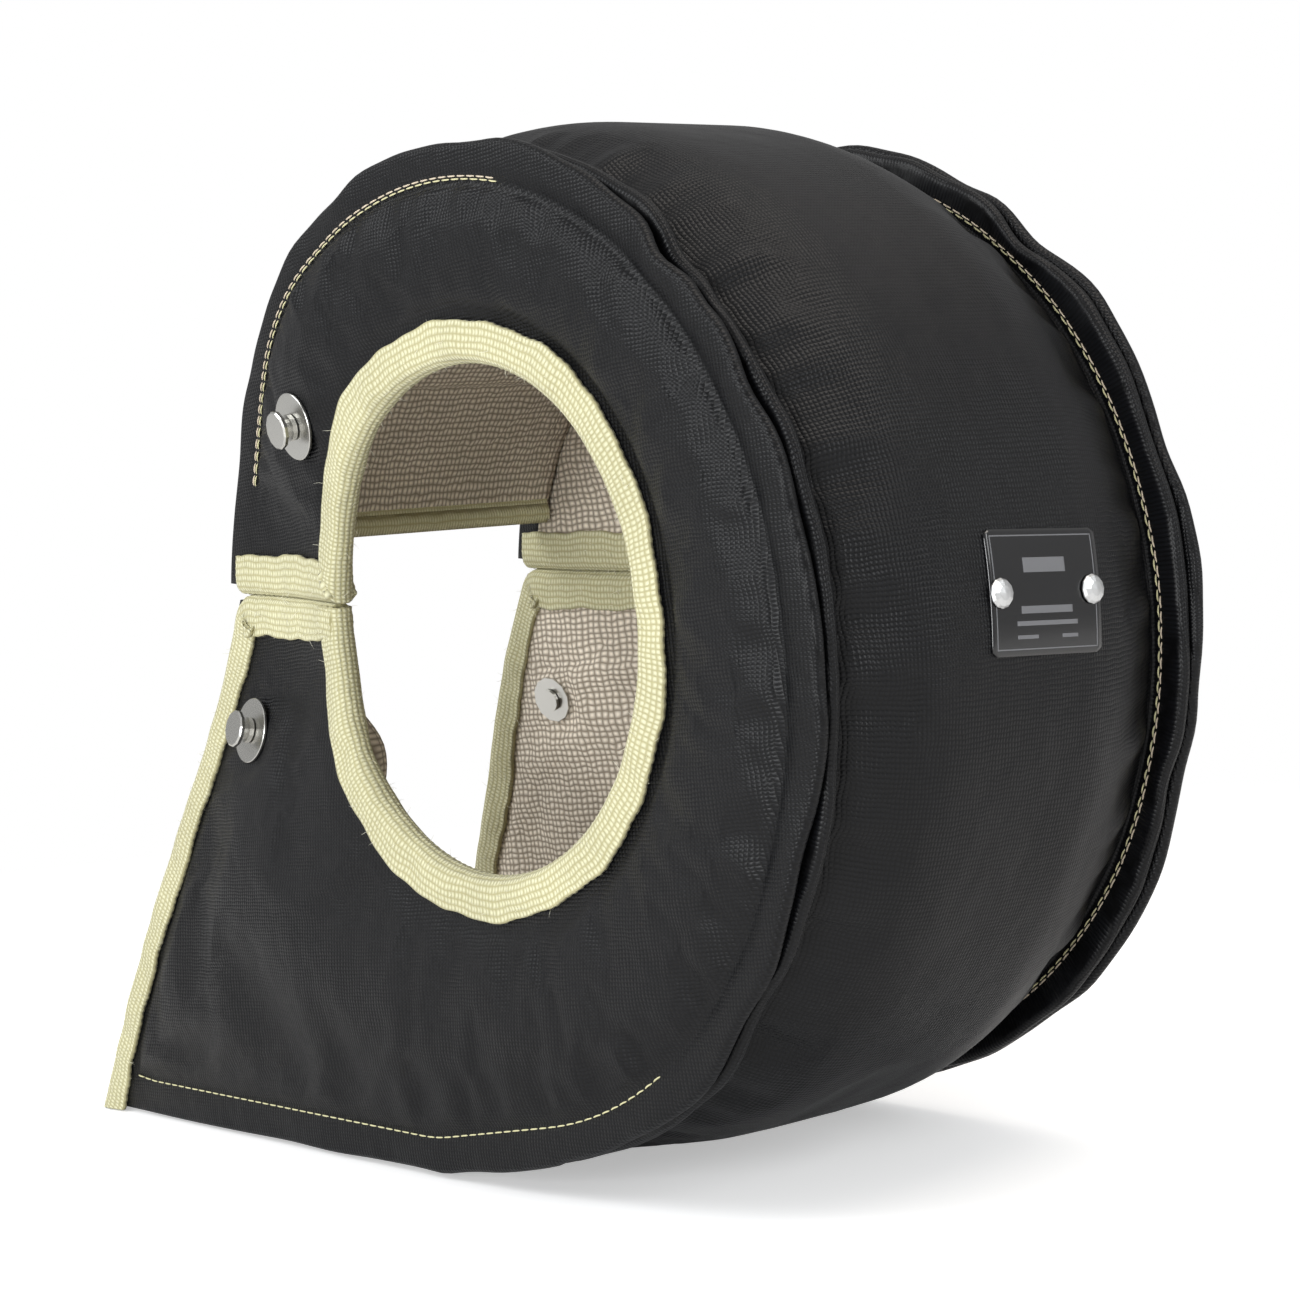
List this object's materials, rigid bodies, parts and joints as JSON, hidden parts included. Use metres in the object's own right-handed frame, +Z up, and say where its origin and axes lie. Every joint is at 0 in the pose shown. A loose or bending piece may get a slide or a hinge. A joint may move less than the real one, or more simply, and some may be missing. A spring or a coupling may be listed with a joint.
{
  "type": "turbo heat blanket",
  "caption": "Padded round heat blanket for a turbocharger's turbine side, with a taped hole in each end, an open slit side, lacing posts and a small wall plate.",
  "frame": {"origin": "middle of the bounding box at the floor", "axes": "+X from the open slit side to the wall plate, +Y from the front end to the back end, +Z up"},
  "size_m": [0.3146, 0.1334, 0.2491],
  "materials": {
    "coated_cloth": "black coated woven cloth, coarse and slightly glossy",
    "lining_cloth": "tan coated woven cloth, matte",
    "insulation_mat": "off-white needled fibre mat",
    "binding_tape": "cream woven tape with green and yellow threads, matte",
    "steel_hardware": "bright turned and rolled steel",
    "black_plate": "black satin coated sheet, left blank"
  },
  "bodies": {
    "root": {"front_upper_post": "steel_hardware", "front_upper_washer": "steel_hardware", "front_upper_clip": "steel_hardware", "front_lower_post": "steel_hardware", "front_lower_washer": "steel_hardware", "front_lower_clip": "steel_hardware", "front_cover": "coated_cloth", "front_insulation": "insulation_mat", "front_lining": "lining_cloth", "front_hole_binding": "binding_tape", "front_leg_binding": "binding_tape", "back_upper_post": "steel_hardware", "back_upper_washer": "steel_hardware", "back_upper_clip": "steel_hardware", "back_lower_post": "steel_hardware", "back_lower_washer": "steel_hardware", "back_lower_clip": "steel_hardware", "back_cover": "coated_cloth", "back_insulation": "insulation_mat", "back_lining": "lining_cloth", "back_hole_binding": "binding_tape", "back_leg_binding": "binding_tape", "wall_cover": "coated_cloth", "wall_insulation": "insulation_mat", "wall_lining": "lining_cloth", "wall_upper_binding": "binding_tape", "wall_lower_binding": "binding_tape", "plate_front_rivet": "steel_hardware", "plate_front_backing": "steel_hardware", "plate_back_rivet": "steel_hardware", "plate_back_backing": "steel_hardware", "name_plate": "black_plate"}
  },
  "joints": []
}
